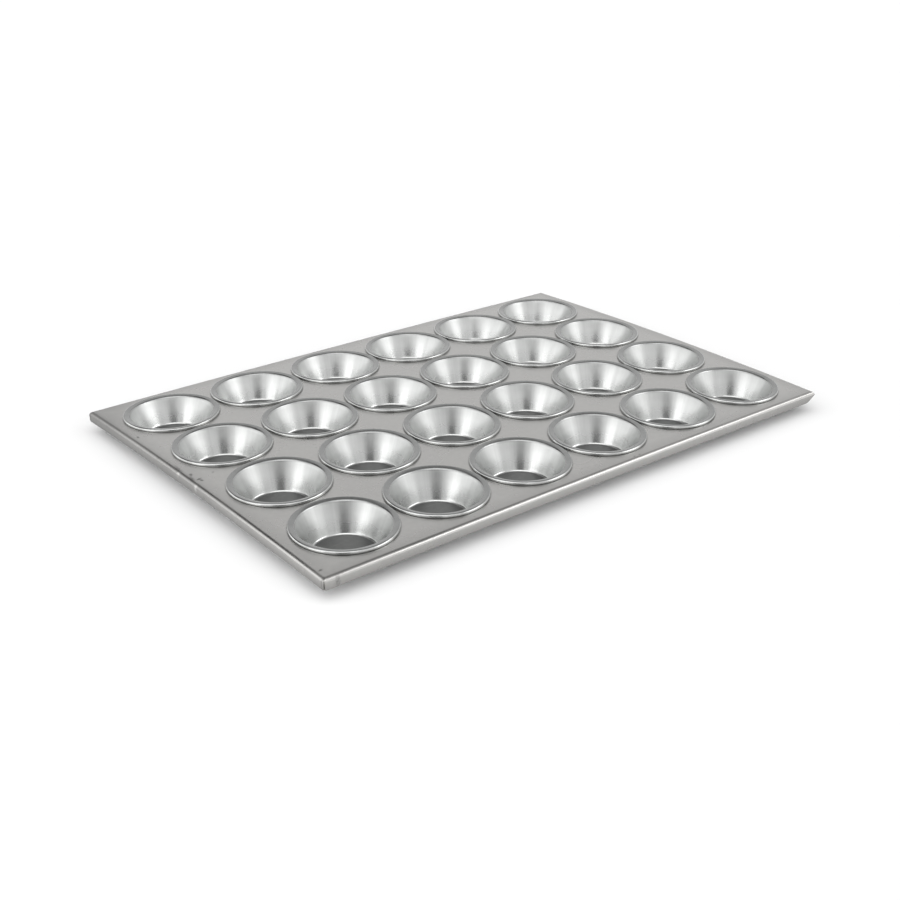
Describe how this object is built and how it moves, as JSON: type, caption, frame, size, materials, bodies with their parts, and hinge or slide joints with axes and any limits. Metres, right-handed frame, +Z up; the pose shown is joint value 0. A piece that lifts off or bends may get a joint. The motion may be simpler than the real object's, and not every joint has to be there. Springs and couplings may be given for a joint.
{
  "type": "muffin pan",
  "caption": "Rectangular baking pan: a flat satin metal sheet with folded-down hems, holding shallow flared cups with rolled rims for baking muffins.",
  "frame": {"origin": "under the middle of the pan, on the plane that the cup bottoms stand on", "axes": "+X along the long side, +Y along the short side, +Z up out of the cups"},
  "size_m": [0.521, 0.36, 0.0236],
  "materials": {
    "satin_sheet": "satin rolled aluminium sheet with fine grain and light scuffs",
    "bright_cup": "bright drawn aluminium with faint upright draw marks"
  },
  "bodies": {
    "root": {"top_sheet": "satin_sheet", "muffin_cup_row1_column1": "bright_cup", "muffin_cup_row1_column2": "bright_cup", "muffin_cup_row1_column3": "bright_cup", "muffin_cup_row1_column4": "bright_cup", "muffin_cup_row1_column5": "bright_cup", "muffin_cup_row1_column6": "bright_cup", "muffin_cup_row2_column1": "bright_cup", "muffin_cup_row2_column2": "bright_cup", "muffin_cup_row2_column3": "bright_cup", "muffin_cup_row2_column4": "bright_cup", "muffin_cup_row2_column5": "bright_cup", "muffin_cup_row2_column6": "bright_cup", "muffin_cup_row3_column1": "bright_cup", "muffin_cup_row3_column2": "bright_cup", "muffin_cup_row3_column3": "bright_cup", "muffin_cup_row3_column4": "bright_cup", "muffin_cup_row3_column5": "bright_cup", "muffin_cup_row3_column6": "bright_cup", "muffin_cup_row4_column1": "bright_cup", "muffin_cup_row4_column2": "bright_cup", "muffin_cup_row4_column3": "bright_cup", "muffin_cup_row4_column4": "bright_cup", "muffin_cup_row4_column5": "bright_cup", "muffin_cup_row4_column6": "bright_cup"}
  },
  "joints": []
}
